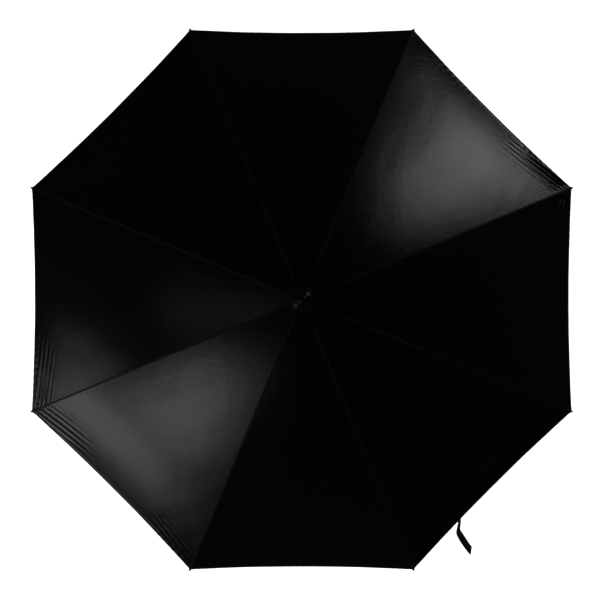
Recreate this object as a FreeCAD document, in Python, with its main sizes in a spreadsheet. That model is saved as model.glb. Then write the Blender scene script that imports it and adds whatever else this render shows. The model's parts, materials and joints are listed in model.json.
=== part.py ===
import FreeCAD, Part
import math
import os
import re

import Sketcher

# A golf umbrella, open. The shaft stands along +Z with the ferrule at the top, and the origin is on the
# shaft's axis at the lower edge of the grip. Eight arms hang from the crown. An arm is an inner rib, a
# connector, an outer rib with its tip, and a stretcher from the connector down to the runner.
# Arm 1 points 22.5 degrees from +X towards +Y, and the others follow it every 45 degrees.
#
# The crown's ring and the runner's ring have the same radius, and a rib's pivot is as far from its
# stretcher's pivot as the stretcher is long. So the runner moves straight along the shaft as the arms
# fold, by twice the arm's length times the change in the sine of its slope.

SIZES = {
    # shaft: heights are above the origin
    "shaft_radius": 7.0,
    "shaft_wall": 0.7,
    "shaft_foot": 6.0,
    "shaft_head": 975.0,
    "crown_height": 935.0,
    # rings that the arms hang from: heights are from the ring of wire
    "arm_count": 8,
    "ring_radius": 12.0,
    "ring_outer": 16.5,
    "ring_half": 7.0,
    "wire_radius": 0.8,
    "groove_radius": 11.1,
    "groove_half": 0.9,
    "slot_floor": 9.2,
    "slot_half": 1.6,
    "slot_reach": 3.6,
    "past_edge": 1.0,
    # runner
    "runner_bore": 7.3,
    "sleeve_radius": 11.0,
    "sleeve_length": 52.0,
    "flange_radius": 14.0,
    "flange_height": 6.0,
    "window_low": 41.0,
    "window_high": 21.0,
    "window_half": 1.7,
    # rib: slopes are below the horizontal, lengths are along the rib
    "slope_at_crown": 10.0,
    "slope_at_joint": 26.0,
    "slope_at_tip": 48.0,
    "inner_length": 350.0,
    "outer_length": 400.0,
    "tongue_length": 9.5,
    "tongue_overlap": 6.0,
    "tongue_half": 1.2,
    "eye_radius": 2.4,
    "eye_hole": 0.95,
    "channel_half_width": 2.0,
    "channel_half_depth": 1.6,
    "channel_wall": 0.6,
    "rod_radius": 2.0,
    # connector at the joint
    "joint_half": 11.0,
    "joint_half_width": 3.7,
    "joint_half_height": 2.9,
    "joint_bevel": 1.2,
    "socket_play": 0.1,
    "flex_gap": 0.9,
    "lug_drop": 8.0,
    "lug_radius": 3.2,
    "lug_half": 1.5,
    "rivet_radius": 1.25,
    "rivet_hole": 1.3,
    "rivet_head": 2.2,
    "rivet_half": 3.7,
    "rivet_shoulder": 2.9,
    # stretcher
    "fork_radius": 3.4,
    "fork_half": 2.8,
    "fork_gap_half": 1.8,
    "fork_floor": 4.6,
    "fork_length": 11.0,
    "fork_hole": 1.34,
    "bar_half_width": 1.8,
    "bar_half_height": 1.5,
    "bar_end": 9.5,
    "flute_start": 16.0,
    # rib tip
    "tip_back": 9.0,
    "tip_front": 6.0,
    "tip_radius": 2.9,
    "tip_nose": 1.2,
    "tip_bore": 2.05,
    # canopy
    "cloth_lift": 3.6,
    "cloth_thick": 0.6,
    "cloth_start": 19.0,
    "seam_gap": 0.2,
    # top cap and ferrule: heights are from the crown's ring of wire
    "cap_radius": 21.0,
    "cap_rim": 4.7,
    "cap_under": 7.4,
    "cap_seat": 17.2,
    "cap_edge": 0.9,
    "cap_shoulder": 14.0,
    "cap_top": 12.0,
    "ferrule_collar": 10.5,
    "collar_height": 3.0,
    "ferrule_base": 9.0,
    "ferrule_neck": 8.4,
    "neck_height": 43.0,
    "point_radius": 6.0,
    "point_start": 51.0,
    "ferrule_top": 78.0,
    "point_bevel": 3.0,
    # catches: a blade in the shaft, measured from its pin
    "catch_half": 0.8,
    "catch_foot": 2.2,
    "catch_inside": 5.7,
    "catch_reach": 11.5,
    "catch_height": 38.0,
    "catch_back": 0.5,
    "catch_ramp": 14.0,
    "catch_nose": 3.0,
    "catch_slot_half": 1.1,
    "catch_pin": 1.0,
    "catch_pin_half": 6.9,
    "catch_pin_hole": 1.06,
    "catch_play": 1.3,
    "lower_catch_drop": 63.5,
    # handle
    "grip_radius": 17.5,
    "grip_wall": 150.0,
    "grip_top": 165.0,
    "grip_neck": 11.0,
    "end_radius": 16.5,
    "end_depth": 12.0,
    "end_flat": 10.0,
    "end_skirt": 4.0,
    "plug_radius": 6.1,
    "plug_height": 20.0,
    # closing strap: a band that hangs in a curve from the hem
    "strap_half_width": 10.0,
    "strap_half_thick": 0.6,
    "strap_radius": 275.0,
    "strap_turn": 40.0,
    "strap_slope": 35.0,
    "strap_share": 0.285,
    "strap_bearing": -62.0,
    "strap_drop": 1.5,
    "patch_thick": 1.0,
    "patch_turn": 6.0,
    # the fold from open to closed
    "fold_angle": 69.0,
}

doc = FreeCAD.newDocument("golf_umbrella")


def make_sheet():
    """Spreadsheet of the driving dimensions, each cell with its alias."""
    sheet = doc.addObject("Spreadsheet::Sheet", "sizes")
    for row, (alias, number) in enumerate(SIZES.items(), start=1):
        sheet.set("A%d" % row, alias)
        sheet.set("B%d" % row, str(number))
        sheet.setAlias("B%d" % row, alias)
    doc.recompute()
    return sheet


sheet = make_sheet()


def linked(text):
    """The expression with every size's name pointing at its cell."""
    return re.sub(r"[a-z_]{3,}", lambda word: "sizes." + word.group(0), text)


def value(text):
    """The number that an expression of sizes gives."""
    return float(sheet.evalExpression(linked(text)))


# ---------------------------------------------------------------------------------------- modelling


def new_body(label):
    body = doc.addObject("PartDesign::Body", label)
    body.Label = label
    return body


def origin_feature(body, role):
    return [feature for feature in body.Origin.OriginFeatures if feature.Role == role][0]


def new_sketch(body, role):
    """Empty sketch on one of the body's own planes: XY_Plane, XZ_Plane or YZ_Plane."""
    sketch = body.newObject("Sketcher::SketchObject", body.Name + "_sketch")
    sketch.AttachmentSupport = [(origin_feature(body, role), "")]
    sketch.MapMode = "FlatFace"
    return sketch


def pin_down(sketch, kind, place, text):
    """Adds a dimension bound to the spreadsheet."""
    index = sketch.addConstraint(Sketcher.Constraint(kind, *place, value(text)))
    sketch.setExpression("Constraints[%d]" % index, linked(text))


def outline_sketch(body, role, points):
    """Closed outline of straight edges. A point is a pair of expressions."""
    sketch = new_sketch(body, role)
    corners = [FreeCAD.Vector(value(across), value(up), 0) for across, up in points]
    count = len(corners)
    for i in range(count):
        sketch.addGeometry(Part.LineSegment(corners[i], corners[(i + 1) % count]), False)
    for i in range(count):
        sketch.addConstraint(Sketcher.Constraint("Coincident", i, 2, (i + 1) % count, 1))
    for i, (across, up) in enumerate(points):
        pin_down(sketch, "DistanceX", (i, 1), across)
        pin_down(sketch, "DistanceY", (i, 1), up)
    return sketch


def circle_sketch(body, role, across, up, radius):
    sketch = new_sketch(body, role)
    centre = FreeCAD.Vector(value(across), value(up), 0)
    sketch.addGeometry(Part.Circle(centre, FreeCAD.Vector(0, 0, 1), value(radius)), False)
    pin_down(sketch, "Radius", (0,), radius)
    pin_down(sketch, "DistanceX", (0, 3), across)
    pin_down(sketch, "DistanceY", (0, 3), up)
    return sketch


def rectangle(left, low, right, high):
    return [(left, low), (right, low), (right, high), (left, high)]


def pad(body, sketch, length, sides="Symmetric"):
    feature = body.newObject("PartDesign::Pad", body.Name + "_pad")
    feature.Profile = sketch
    feature.SideType = sides
    feature.setExpression("Length", linked(length))
    return feature


def cut(body, sketch, length, sides="Symmetric", backwards=False):
    """Pocket that must take something away."""
    doc.recompute()
    before = body.Shape.Volume
    feature = body.newObject("PartDesign::Pocket", body.Name + "_pocket")
    feature.Profile = sketch
    feature.SideType = sides
    feature.Reversed = backwards
    feature.setExpression("Length", linked(length))
    doc.recompute()
    if not body.Shape.Volume < before:
        raise ValueError(body.Label + ": a pocket cuts nothing")
    return feature


def revolve(body, sketch, axis="V_Axis", angle=None):
    """Revolution about one of the sketch's axes: a full turn, or by an expression of degrees."""
    feature = body.newObject("PartDesign::Revolution", body.Name + "_revolution")
    feature.Profile = sketch
    feature.ReferenceAxis = (sketch, [axis])
    feature.Angle = 360
    if angle:
        feature.setExpression("Angle", linked(angle))
    return feature


def repeat_round(body, feature):
    """Repeats a feature about the body's Z axis, once for each arm."""
    doc.recompute()
    pattern = body.newObject("PartDesign::PolarPattern", body.Name + "_pattern")
    pattern.Originals = [feature]
    pattern.Axis = (origin_feature(body, "Z_Axis"), [""])
    pattern.Angle = 360
    pattern.setExpression("Occurrences", linked("arm_count"))
    body.Tip = pattern
    return pattern


def torus(label, ring, wire):
    shape = doc.addObject("Part::Torus", label)
    shape.Label = label
    shape.setExpression("Radius1", linked(ring))
    shape.setExpression("Radius2", linked(wire))
    return shape


# ------------------------------------------------------------------------------------- arm geometry


def along(slope):
    """Unit step outward and down a slope, in the arm's upright plane: (out, up)."""
    angle = math.radians(slope)
    return math.cos(angle), -math.sin(angle)


def outward(slope):
    """Unit step square to a slope, towards the canopy."""
    angle = math.radians(slope)
    return math.sin(angle), math.cos(angle)


def stepped(point, direction, distance):
    return point[0] + direction[0] * distance, point[1] + direction[1] * distance


def arc_radius(length, turn):
    return length / math.radians(turn)


def arm_points():
    """Places on an arm as (out from the axis, up from the origin)."""
    crown_slope = value("slope_at_crown")
    joint_slope = value("slope_at_joint")
    tip_slope = value("slope_at_tip")
    inner_radius = arc_radius(value("inner_length - tongue_length"), joint_slope - crown_slope)
    straight = value("joint_half + flex_gap")
    outer_radius = arc_radius(value("outer_length") - straight, tip_slope - joint_slope)

    root = value("ring_radius"), value("crown_height")
    inner_start = stepped(root, along(crown_slope), value("tongue_length"))
    inner_centre = stepped(inner_start, outward(crown_slope), -inner_radius)
    joint = stepped(inner_centre, outward(joint_slope), inner_radius)
    flex = stepped(joint, along(joint_slope), straight)
    outer_centre = stepped(flex, outward(joint_slope), -outer_radius)
    tip = stepped(outer_centre, outward(tip_slope), outer_radius)

    stretcher_pivot = stepped(joint, outward(joint_slope), -value("lug_drop"))
    reach = stretcher_pivot[0] - root[0]
    drop = root[1] - stretcher_pivot[1]
    return {
        "root": root,
        "inner_radius": inner_radius,
        "inner_centre": inner_centre,
        "joint": joint,
        "flex": flex,
        "outer_radius": outer_radius,
        "outer_centre": outer_centre,
        "tip": tip,
        "stretcher_pivot": stretcher_pivot,
        "stretcher_length": math.hypot(reach, drop),
        "stretcher_slope": math.degrees(math.atan2(drop, reach)),
        "runner_height": root[1] - 2 * drop,
    }


ARM = arm_points()


def bearing(number):
    """Degrees from +X to an arm."""
    spacing = 360 / value("arm_count")
    return spacing * (number - 0.5)


def arm_placement(number, point, tilt):
    """Placement of a piece drawn in the arm's upright plane: its origin at the point, its own X axis
    turned down by tilt."""
    turn = FreeCAD.Rotation(FreeCAD.Vector(0, 0, 1), bearing(number))
    lean = FreeCAD.Rotation(FreeCAD.Vector(0, 1, 0), tilt)
    place = turn.multVec(FreeCAD.Vector(point[0], 0, point[1]))
    return FreeCAD.Placement(place, turn.multiply(lean))


# --------------------------------------------------------------------------------------- the centre


def make_shaft():
    """Steel tube with a slot and a pair of pin holes for each catch."""
    body = new_body("shaft")
    outside = circle_sketch(body, "XY_Plane", "0", "0", "shaft_radius")
    pad(body, outside, "shaft_head - shaft_foot", "One side")
    bore = circle_sketch(body, "XY_Plane", "0", "0", "shaft_radius - shaft_wall")
    cut(body, bore, "shaft_head - shaft_foot", "One side", backwards=True)
    body.Placement.Base.z = value("shaft_foot")
    for pin_height in (UPPER_PIN, LOWER_PIN):
        low = "%s + catch_height - catch_ramp - catch_nose - shaft_foot" % pin_height
        high = "%s + catch_height + 2 * past_edge - shaft_foot" % pin_height
        slot = outline_sketch(body, "YZ_Plane", rectangle("-catch_slot_half", low, "catch_slot_half", high))
        cut(body, slot, "shaft_radius + past_edge", "One side", backwards=True)
        hole = circle_sketch(body, "XZ_Plane", "0", "%s - shaft_foot" % pin_height, "catch_pin_hole")
        cut(body, hole, "2 * shaft_radius + past_edge")
    return body


def ring_profile(bore, low):
    """Half section of a slotted ring, with the groove for its wire, down to a lower edge."""
    return [
        (bore, low),
        ("ring_outer", low),
        ("ring_outer", "-groove_half"),
        ("groove_radius", "-groove_half"),
        ("groove_radius", "groove_half"),
        ("ring_outer", "groove_half"),
        ("ring_outer", "ring_half"),
        (bore, "ring_half"),
    ]


def cut_slots(body, low, high):
    """Eight slots for the tongues of the arms."""
    slot = rectangle("slot_floor", low, "ring_outer + past_edge", high)
    pocket = cut(body, outline_sketch(body, "XZ_Plane", slot), "2 * slot_half")
    repeat_round(body, pocket)


def ring_placement(height):
    turn = FreeCAD.Rotation(FreeCAD.Vector(0, 0, 1), bearing(1))
    return FreeCAD.Placement(FreeCAD.Vector(0, 0, height), turn)


def make_crown():
    """Slotted ring fixed to the shaft, open downwards so that the ribs can hang."""
    body = new_body("crown")
    revolve(body, outline_sketch(body, "XZ_Plane", ring_profile("shaft_radius", "-ring_half")))
    cut_slots(body, "-ring_half - past_edge", "slot_reach")
    body.Placement = ring_placement(value("crown_height"))
    return body


def make_runner():
    """Slotted ring with a sleeve below it, open upwards, and a window for the lower catch."""
    body = new_body("runner")
    revolve(body, outline_sketch(body, "XZ_Plane", ring_profile("runner_bore", "-ring_half")))
    sleeve = [
        ("runner_bore", "-sleeve_length"),
        ("flange_radius", "-sleeve_length"),
        ("flange_radius", "-sleeve_length + flange_height"),
        ("sleeve_radius", "-sleeve_length + flange_height + past_edge"),
        ("sleeve_radius", "-ring_half"),
        ("runner_bore", "-ring_half"),
    ]
    revolve(body, outline_sketch(body, "XZ_Plane", sleeve))
    cut_slots(body, "-slot_reach", "ring_half + past_edge")
    window = outline_sketch(
        body, "YZ_Plane", rectangle("-window_half", "-window_low", "window_half", "-window_high")
    )
    between_arms = FreeCAD.Rotation(FreeCAD.Vector(0, 1, 0), -bearing(1))
    window.AttachmentOffset = FreeCAD.Placement(FreeCAD.Vector(0, 0, 0), between_arms)
    cut(body, window, "flange_radius", "One side", backwards=True)
    body.Placement = ring_placement(ARM["runner_height"])
    return body


def make_wires():
    """The rings of wire that the ribs and the stretchers turn on."""
    crown_wire = torus("crown_wire", "ring_radius", "wire_radius")
    crown_wire.Placement.Base.z = value("crown_height")
    runner_wire = torus("runner_wire", "ring_radius", "wire_radius")
    runner_wire.Placement.Base.z = ARM["runner_height"]
    return [crown_wire, runner_wire]


def make_top_cap():
    """Cap that clamps the middle of the canopy over the crown."""
    body = new_body("top_cap")
    profile = [
        ("shaft_radius", "cap_under"),
        ("cap_seat", "cap_under"),
        ("cap_radius - cap_edge", "cap_rim"),
        ("cap_radius", "cap_rim"),
        ("cap_radius", "cap_rim + cap_edge"),
        ("cap_shoulder", "cap_top - cap_edge"),
        ("ferrule_collar", "cap_top"),
        ("shaft_radius", "cap_top"),
    ]
    revolve(body, outline_sketch(body, "XZ_Plane", profile))
    body.Placement.Base.z = value("crown_height")
    return body


def make_ferrule():
    """Spike at the top of the shaft, with a round point that is a plain cylinder below its end."""
    body = new_body("ferrule")
    profile = [
        ("shaft_radius", "cap_top"),
        ("ferrule_collar", "cap_top"),
        ("ferrule_collar", "cap_top + collar_height"),
        ("ferrule_base", "cap_top + collar_height + past_edge"),
        ("ferrule_neck", "neck_height"),
        ("point_radius", "point_start"),
        ("point_radius", "ferrule_top - point_bevel"),
        ("point_radius - point_bevel / 3", "ferrule_top - point_bevel / 3"),
        ("point_radius - point_bevel", "ferrule_top"),
        ("0", "ferrule_top"),
        ("0", "shaft_head - crown_height"),
        ("shaft_radius", "shaft_head - crown_height"),
    ]
    revolve(body, outline_sketch(body, "XZ_Plane", profile))
    body.Placement.Base.z = value("crown_height")
    return body


# the end of a catch's blade, from its lower corner up: a square shoulder on one side, a ramp on the other
SHOULDER_ABOVE = [
    ("catch_inside", "catch_height - catch_ramp"),
    ("catch_reach", "catch_height - catch_nose"),
    ("catch_reach", "catch_height"),
]
SHOULDER_BELOW = [
    ("catch_inside", "catch_height - catch_ramp"),
    ("catch_reach", "catch_height - catch_ramp"),
    ("catch_reach", "catch_height - catch_ramp + catch_nose"),
    ("catch_inside", "catch_height"),
]


def make_catch(label, pin_height, nose):
    """Sprung blade that leans out of the shaft, with its pin."""
    body = new_body(label)
    blade = [("-catch_foot", "-catch_foot"), ("catch_foot", "-catch_foot")] + nose
    blade += [("catch_back", "catch_height"), ("-catch_foot", "catch_foot")]
    pad(body, outline_sketch(body, "XZ_Plane", blade), "2 * catch_half")
    pad(body, circle_sketch(body, "XZ_Plane", "0", "0", "catch_pin"), "2 * catch_pin_half")
    body.Placement.Base.z = pin_height
    return body


def make_grip():
    """Foam grip, a straight cylinder that tapers to the shaft at its top."""
    body = new_body("handle_grip")
    profile = [
        ("shaft_radius", "0"),
        ("grip_radius", "0"),
        ("grip_radius", "grip_wall"),
        ("grip_neck", "grip_top"),
        ("shaft_radius", "grip_top"),
    ]
    revolve(body, outline_sketch(body, "XZ_Plane", profile))
    return body


def make_end_cap():
    """Cap under the grip, with a plug that goes up into the shaft."""
    body = new_body("grip_end_cap")
    profile = [
        ("0", "-end_depth"),
        ("end_flat", "-end_depth"),
        ("end_radius", "-end_skirt"),
        ("end_radius", "0"),
        ("plug_radius", "0"),
        ("plug_radius", "plug_height"),
        ("0", "plug_height"),
    ]
    revolve(body, outline_sketch(body, "XZ_Plane", profile))
    return body


# ---------------------------------------------------------------------------------------- the arms


def make_inner_rib(number):
    """Fluted steel rib, open underneath, with a tongue and an eye at the crown. Its own origin is the
    centre of its arc, with +X towards the start of the channel."""
    body = new_body("rib_inner_%d" % number)
    radius = "%.6f" % ARM["inner_radius"]
    top = radius + " + channel_half_depth"
    low = radius + " - channel_half_depth"
    side = "channel_half_width"
    inside = "channel_half_width - channel_wall"
    channel = [
        (low, "-" + side),
        (top, "-" + side),
        (top, side),
        (low, side),
        (low, inside),
        (top + " - channel_wall", inside),
        (top + " - channel_wall", "-(%s)" % inside),
        (low, "-(%s)" % inside),
    ]
    sketch = outline_sketch(body, "XY_Plane", channel)
    revolve(body, sketch, angle="slope_at_joint - slope_at_crown")
    tongue = rectangle(low, "-tongue_overlap", top, "tongue_length")
    pad(body, outline_sketch(body, "XZ_Plane", tongue), "2 * tongue_half")
    pad(body, circle_sketch(body, "XZ_Plane", radius, "tongue_length", "eye_radius"), "2 * tongue_half")
    hole = circle_sketch(body, "XZ_Plane", radius, "tongue_length", "eye_hole")
    cut(body, hole, "2 * tongue_half + past_edge")
    body.Placement = arm_placement(number, ARM["inner_centre"], value("slope_at_crown") - 90)
    return body


def make_outer_rib(number):
    """Fibreglass rod. Its own origin is the centre of its arc, with +X towards the joint end."""
    body = new_body("rib_outer_%d" % number)
    sketch = circle_sketch(body, "XY_Plane", "%.6f" % ARM["outer_radius"], "0", "rod_radius")
    revolve(body, sketch, angle="slope_at_tip - slope_at_joint")
    body.Placement = arm_placement(number, ARM["outer_centre"], value("slope_at_joint") - 90)
    return body


def make_rivet(number):
    """Rivet through the connector's lug, with a head at each end."""
    body = new_body("rivet_%d" % number)
    profile = [
        ("0", "-rivet_half"),
        ("rivet_head", "-rivet_half"),
        ("rivet_head", "-rivet_shoulder"),
        ("rivet_radius", "-rivet_shoulder"),
        ("rivet_radius", "rivet_shoulder"),
        ("rivet_head", "rivet_shoulder"),
        ("rivet_head", "rivet_half"),
        ("0", "rivet_half"),
    ]
    revolve(body, outline_sketch(body, "XY_Plane", profile))
    body.Placement = arm_placement(number, ARM["stretcher_pivot"], value("slope_at_joint"))
    return body


def make_joint_block(number):
    """Sleeve round the joint of the two ribs, with a lug below it for the stretcher. Its own +X runs out
    along the rib."""
    body = new_body("joint_block_%d" % number)
    wide, tall = "joint_half_width", "joint_half_height"
    wide_flat, tall_flat = "(joint_half_width - joint_bevel)", "(joint_half_height - joint_bevel)"
    section = [
        (wide_flat, "-" + tall),
        (wide, "-" + tall_flat),
        (wide, tall_flat),
        (wide_flat, tall),
        ("-" + wide_flat, tall),
        ("-" + wide, tall_flat),
        ("-" + wide, "-" + tall_flat),
        ("-" + wide_flat, "-" + tall),
    ]
    pad(body, outline_sketch(body, "YZ_Plane", section), "2 * joint_half")
    lug = rectangle("-lug_radius", "-lug_drop", "lug_radius", "past_edge - joint_half_height")
    pad(body, outline_sketch(body, "XZ_Plane", lug), "2 * lug_half")
    pad(body, circle_sketch(body, "XZ_Plane", "0", "-lug_drop", "lug_radius"), "2 * lug_half")
    across = "(channel_half_width + socket_play)"
    up = "(channel_half_depth + socket_play)"
    socket = outline_sketch(body, "YZ_Plane", rectangle("-" + across, "-" + up, across, up))
    cut(body, socket, "joint_half", "One side")
    hole = circle_sketch(body, "XZ_Plane", "0", "-lug_drop", "rivet_hole")
    cut(body, hole, "2 * lug_half + past_edge")
    body.Placement = arm_placement(number, ARM["joint"], value("slope_at_joint"))
    return body


def make_connector(number):
    """The joint block and its rivet, two solids in one piece."""
    compound = doc.addObject("Part::Compound", "connector_%d" % number)
    compound.Label = "connector_%d" % number
    compound.Links = [make_joint_block(number), make_rivet(number)]
    return compound


def make_stretcher(number):
    """Fluted bar with a fork at the connector and an eye at the runner. Its own origin is the fork's
    rivet hole, with +X towards the runner."""
    body = new_body("stretcher_%d" % number)
    length = "%.6f" % ARM["stretcher_length"]
    bar = rectangle("fork_length - past_edge", "-bar_half_height", length + " - bar_end", "bar_half_height")
    pad(body, outline_sketch(body, "XZ_Plane", bar), "2 * bar_half_width")
    root = rectangle("0", "-bar_half_height", "fork_length", "bar_half_height")
    pad(body, outline_sketch(body, "XZ_Plane", root), "2 * fork_half")
    pad(body, circle_sketch(body, "XZ_Plane", "0", "0", "fork_radius"), "2 * fork_half")
    tongue = rectangle(length + " - bar_end - tongue_overlap", "-bar_half_height", length, "bar_half_height")
    pad(body, outline_sketch(body, "XZ_Plane", tongue), "2 * tongue_half")
    pad(body, circle_sketch(body, "XZ_Plane", length, "0", "eye_radius"), "2 * tongue_half")
    gap = rectangle("-fork_radius - past_edge", "-fork_radius", "fork_floor", "fork_radius")
    cut(body, outline_sketch(body, "XZ_Plane", gap), "2 * fork_gap_half")
    flute_low, flute_high = "channel_wall - bar_half_height", "bar_half_height + past_edge"
    flute = rectangle("flute_start", flute_low, length + " - flute_start", flute_high)
    cut(body, outline_sketch(body, "XZ_Plane", flute), "2 * (bar_half_width - channel_wall)")
    cut(body, circle_sketch(body, "XZ_Plane", "0", "0", "fork_hole"), "2 * fork_half + past_edge")
    cut(body, circle_sketch(body, "XZ_Plane", length, "0", "eye_hole"), "2 * tongue_half + past_edge")
    body.Placement = arm_placement(number, ARM["stretcher_pivot"], 180 - ARM["stretcher_slope"])
    return body


def make_tip(number):
    """Cap on the end of the outer rib, which holds the corner of the canopy."""
    body = new_body("tip_%d" % number)
    profile = [
        ("-tip_back", "tip_bore"),
        ("-tip_back", "tip_radius"),
        ("0", "tip_radius"),
        ("tip_front", "tip_nose"),
        ("tip_front", "0"),
        ("socket_play", "0"),
        ("socket_play", "tip_bore"),
    ]
    revolve(body, outline_sketch(body, "XY_Plane", profile), axis="H_Axis")
    body.Placement = arm_placement(number, ARM["tip"], value("slope_at_tip"))
    return body


# --------------------------------------------------------------------------------------- the canopy


def cloth_edge(lift):
    """Places along the cloth over a rib, at a height above the rib's middle: the ends and the middles of
    the inner arc, the straight over the connector and the outer arc."""
    joint_slope = value("slope_at_joint")
    tip_slope = value("slope_at_tip")
    inner = ARM["inner_radius"] + lift
    outer = ARM["outer_radius"] + lift
    start_slope = math.degrees(math.asin((value("cloth_start") - ARM["inner_centre"][0]) / inner))
    slopes = (start_slope, (start_slope + joint_slope) / 2, joint_slope)
    places = [stepped(ARM["inner_centre"], outward(slope), inner) for slope in slopes]
    slopes = (joint_slope, (joint_slope + tip_slope) / 2, tip_slope)
    places += [stepped(ARM["outer_centre"], outward(slope), outer) for slope in slopes]
    return places


def cloth_section(turn, shift):
    """Closed section of the cloth in a rib's upright plane, moved sideways to clear the seam."""
    rotation = FreeCAD.Rotation(FreeCAD.Vector(0, 0, 1), turn)

    def place(point):
        return rotation.multVec(FreeCAD.Vector(point[0], 0, point[1])) + shift

    under = [place(point) for point in cloth_edge(value("cloth_lift"))]
    over = [place(point) for point in cloth_edge(value("cloth_lift + cloth_thick"))]
    edges = []
    for line in (under, over):
        edges.append(Part.Arc(line[0], line[1], line[2]).toShape())
        edges.append(Part.LineSegment(line[2], line[3]).toShape())
        edges.append(Part.Arc(line[3], line[4], line[5]).toShape())
    edges.append(Part.LineSegment(under[0], over[0]).toShape())
    edges.append(Part.LineSegment(under[5], over[5]).toShape())
    return Part.Wire(Part.__sortEdges__(edges))


def make_gore(number):
    """One panel of the canopy: a thin closed shell, ruled straight from rib to rib. Drawn about +X and
    turned to its place."""
    half = 180 / value("arm_count")
    inward = value("seam_gap")
    near = cloth_section(-half, FreeCAD.Vector(0, inward, 0))
    far = cloth_section(half, FreeCAD.Vector(0, -inward, 0))
    gore = doc.addObject("Part::Feature", "gore_%d" % number)
    gore.Label = "gore_%d" % number
    gore.Shape = Part.makeLoft([near, far], True, True)
    turn = FreeCAD.Rotation(FreeCAD.Vector(0, 0, 1), bearing(number) + half)
    gore.Placement = FreeCAD.Placement(FreeCAD.Vector(0, 0, 0), turn)
    return gore


def strap_placement():
    """The strap's own origin is the centre of its curve, with +X towards its sewn end. It starts under the
    hem of gore 7, a share of the way from rib 7 to rib 8."""
    corners = []
    for number in (7, 8):
        turn = FreeCAD.Rotation(FreeCAD.Vector(0, 0, 1), bearing(number))
        corners.append(turn.multVec(FreeCAD.Vector(ARM["tip"][0], 0, ARM["tip"][1])))
    start = corners[0] + (corners[1] - corners[0]) * value("strap_share")
    start.z -= value("strap_drop")
    turn = FreeCAD.Rotation(FreeCAD.Vector(0, 0, 1), value("strap_bearing"))
    side, up = outward(value("strap_slope"))
    middle = start - turn.multVec(FreeCAD.Vector(side, 0, up)) * value("strap_radius")
    lean = FreeCAD.Rotation(FreeCAD.Vector(0, 1, 0), value("strap_slope") - 90)
    return FreeCAD.Placement(middle, turn.multiply(lean))


def make_strap():
    """Closing strap, a curved band that hangs from the hem, with its fastening patch under the free end."""
    placement = strap_placement()
    band = new_body("strap_band")
    section = rectangle(
        "strap_radius - strap_half_thick",
        "-strap_half_width",
        "strap_radius + strap_half_thick",
        "strap_half_width",
    )
    revolve(band, outline_sketch(band, "XY_Plane", section), angle="strap_turn")
    band.Placement = placement

    patch = new_body("strap_patch")
    section = rectangle(
        "strap_radius - strap_half_thick - patch_thick",
        "past_edge - strap_half_width",
        "strap_radius - strap_half_thick",
        "strap_half_width - past_edge",
    )
    revolve(patch, outline_sketch(patch, "XY_Plane", section), angle="patch_turn")
    to_end = FreeCAD.Rotation(FreeCAD.Vector(0, 1, 0), value("strap_turn - patch_turn"))
    patch.Placement = placement.multiply(FreeCAD.Placement(FreeCAD.Vector(0, 0, 0), to_end))

    strap = doc.addObject("Part::Compound", "closing_strap")
    strap.Label = "closing_strap"
    strap.Links = [band, patch]
    return strap


# ------------------------------------------------------------------------------------- put together

# the upper catch stands just under the open runner, and the lower one in the closed runner's window
UPPER_PIN = "%.6f - sleeve_length - catch_height - catch_play" % ARM["runner_height"]
CLOSED_SLOPE = math.radians(ARM["stretcher_slope"] + value("fold_angle"))
CLOSED_RUNNER = value("crown_height") - 2 * ARM["stretcher_length"] * math.sin(CLOSED_SLOPE)
LOWER_PIN = "%.6f - lower_catch_drop" % CLOSED_RUNNER


def make_pieces():
    pieces = [
        make_shaft(),
        make_crown(),
        make_runner(),
        make_top_cap(),
        make_ferrule(),
        make_catch("upper_catch", value(UPPER_PIN), SHOULDER_ABOVE),
        make_catch("lower_catch", value(LOWER_PIN), SHOULDER_BELOW),
        make_grip(),
        make_end_cap(),
        make_strap(),
    ]
    pieces += make_wires()
    for number in range(1, int(value("arm_count")) + 1):
        pieces.append(make_inner_rib(number))
        pieces.append(make_outer_rib(number))
        pieces.append(make_connector(number))
        pieces.append(make_stretcher(number))
        pieces.append(make_tip(number))
        pieces.append(make_gore(number))
    return pieces


def check_document(pieces):
    """Stops before anything is written if a feature failed or a shape is not sound."""
    for item in doc.Objects:
        if "Invalid" in item.State or "Error" in item.State:
            raise ValueError(item.Label + " did not recompute")
    for piece in pieces:
        if piece.Shape.isNull() or not piece.Shape.isValid():
            raise ValueError(piece.Label + " has no valid shape")
        if not piece.Shape.Solids:
            raise ValueError(piece.Label + " has no solid")


def write_pieces(pieces):
    os.makedirs("parts", exist_ok=True)
    for piece in pieces:
        piece.Shape.exportStep("parts/%s.step" % piece.Label)


pieces = make_pieces()
doc.recompute()
check_document(pieces)
write_pieces(pieces)
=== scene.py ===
import json
import math

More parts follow.
